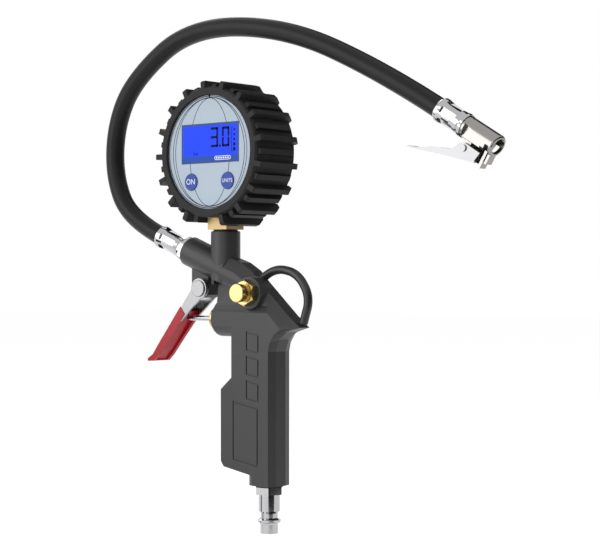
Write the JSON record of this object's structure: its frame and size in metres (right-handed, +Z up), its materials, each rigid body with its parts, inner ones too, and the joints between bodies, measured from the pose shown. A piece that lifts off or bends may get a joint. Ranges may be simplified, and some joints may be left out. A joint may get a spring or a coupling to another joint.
{
  "type": "tyre inflator",
  "caption": "Pistol-grip tyre inflator with a rubber-booted digital gauge, a squeeze trigger, a side release button and a curved rubber hose ending in a clip-on chuck.",
  "frame": {"origin": "centre of the free end face of the air-inlet plug, on the plug's axis", "axes": "+Z up along the plug and grip; -X to the trigger and outlet barrel; -Y to the gauge's dial and the release button"},
  "size_m": [0.284, 0.0392, 0.2906],
  "materials": {
    "gun_body": "satin black paint on a die casting",
    "hanging_loop": "satin black coating on a round rod",
    "air_inlet_plug": "bright plating",
    "gun_ferrule": "bright plating",
    "chuck_ferrule": "bright plating",
    "chuck_body": "satin nickel plating",
    "chuck_jaw": "satin nickel plating",
    "gun_hose_fitting": "satin nickel plating",
    "valve_pin": "bright zinc plating",
    "trigger_lever": "bright zinc plating",
    "trigger_pin": "bright zinc plating",
    "trigger_pin_clip": "bright zinc plating",
    "chuck_lever": "bright zinc plating",
    "chuck_rivet": "bright zinc plating",
    "back_screws": "bright zinc plating",
    "valve_spring": "bright zinc plating",
    "release_spring": "bright zinc plating",
    "valve_gland": "turned brass",
    "valve_seat": "turned brass",
    "release_nut": "turned brass",
    "release_button": "turned brass",
    "gauge_stem": "turned brass",
    "chuck_hose_tail": "turned brass",
    "chuck_depressor": "turned brass",
    "inlet_seal": "matt black rubber",
    "pin_seal": "matt black rubber",
    "release_seal": "matt black rubber",
    "stem_seal": "matt black rubber",
    "gauge_boot": "matt black rubber",
    "hose": "matt black rubber",
    "chuck_seal": "matt black rubber",
    "trigger_grip": "red vinyl dip",
    "gauge_case": "moulded black",
    "case_back": "moulded black",
    "dial_plate": "pale silver-blue printed overlay",
    "lcd_lens": "clear window over a blue backlight",
    "lcd_module": "display block",
    "power_button": "blue key",
    "units_button": "blue key",
    "circuit_board": "green laminate",
    "battery": "steel can",
    "pressure_sensor": "steel can"
  },
  "bodies": {
    "gun": {"gun_body": "gun_body", "hanging_loop": "hanging_loop", "air_inlet_plug": "air_inlet_plug", "gun_ferrule": "gun_ferrule", "chuck_ferrule": "chuck_ferrule", "chuck_body": "chuck_body", "gun_hose_fitting": "gun_hose_fitting", "trigger_pin": "trigger_pin", "trigger_pin_clip": "trigger_pin_clip", "chuck_rivet": "chuck_rivet", "back_screws": "back_screws", "valve_spring": "valve_spring", "release_spring": "release_spring", "valve_gland": "valve_gland", "valve_seat": "valve_seat", "release_nut": "release_nut", "gauge_stem": "gauge_stem", "chuck_hose_tail": "chuck_hose_tail", "chuck_depressor": "chuck_depressor", "inlet_seal": "inlet_seal", "pin_seal": "pin_seal", "release_seal": "release_seal", "stem_seal": "stem_seal", "gauge_boot": "gauge_boot", "hose": "hose", "chuck_seal": "chuck_seal", "gauge_case": "gauge_case", "case_back": "case_back", "dial_plate": "dial_plate", "lcd_lens": "lcd_lens", "lcd_module": "lcd_module", "circuit_board": "circuit_board", "battery": "battery", "pressure_sensor": "pressure_sensor"},
    "trigger": {"trigger_lever": "trigger_lever", "trigger_grip": "trigger_grip"},
    "valve": {"valve_pin": "valve_pin"},
    "release": {"release_button": "release_button"},
    "power_key": {"power_button": "power_button"},
    "units_key": {"units_button": "units_button"},
    "chuck_clip": {"chuck_lever": "chuck_lever", "chuck_jaw": "chuck_jaw"}
  },
  "joints": [
    {"name": "trigger_pivot", "type": "hinge", "parent": "gun", "child": "trigger", "pos_m": [-0.0467, 0, 0.1356], "axis": [0, -1, 0], "range_deg": [0, 8], "stiffness_Nm_per_rad": 0.6, "springref_deg": -6.88},
    {"name": "valve_stroke", "type": "slide", "parent": "gun", "child": "valve", "axis": [1, 0, 0], "range_m": [0, 0.0045]},
    {"name": "release_press", "type": "slide", "parent": "gun", "child": "release", "axis": [0, 1, 0], "range_m": [0, 0.002], "stiffness_N_per_m": 900, "springref_m": -0.002},
    {"name": "power_press", "type": "slide", "parent": "gun", "child": "power_key", "axis": [0, 1, 0], "range_m": [0, 0.0006], "stiffness_N_per_m": 1500, "springref_m": -0.0005},
    {"name": "units_press", "type": "slide", "parent": "gun", "child": "units_key", "axis": [0, 1, 0], "range_m": [0, 0.0006], "stiffness_N_per_m": 1500, "springref_m": -0.0005},
    {"name": "chuck_pivot", "type": "hinge", "parent": "gun", "child": "chuck_clip", "pos_m": [0.13396, 0, 0.2071], "axis": [0, 1, 0], "range_deg": [0, 14], "stiffness_Nm_per_rad": 0.2, "springref_deg": -11.46}
  ],
  "couplings": [
    {"joint": "valve_stroke", "follows": "trigger_pivot", "m_per_rad": 0.0315}
  ]
}
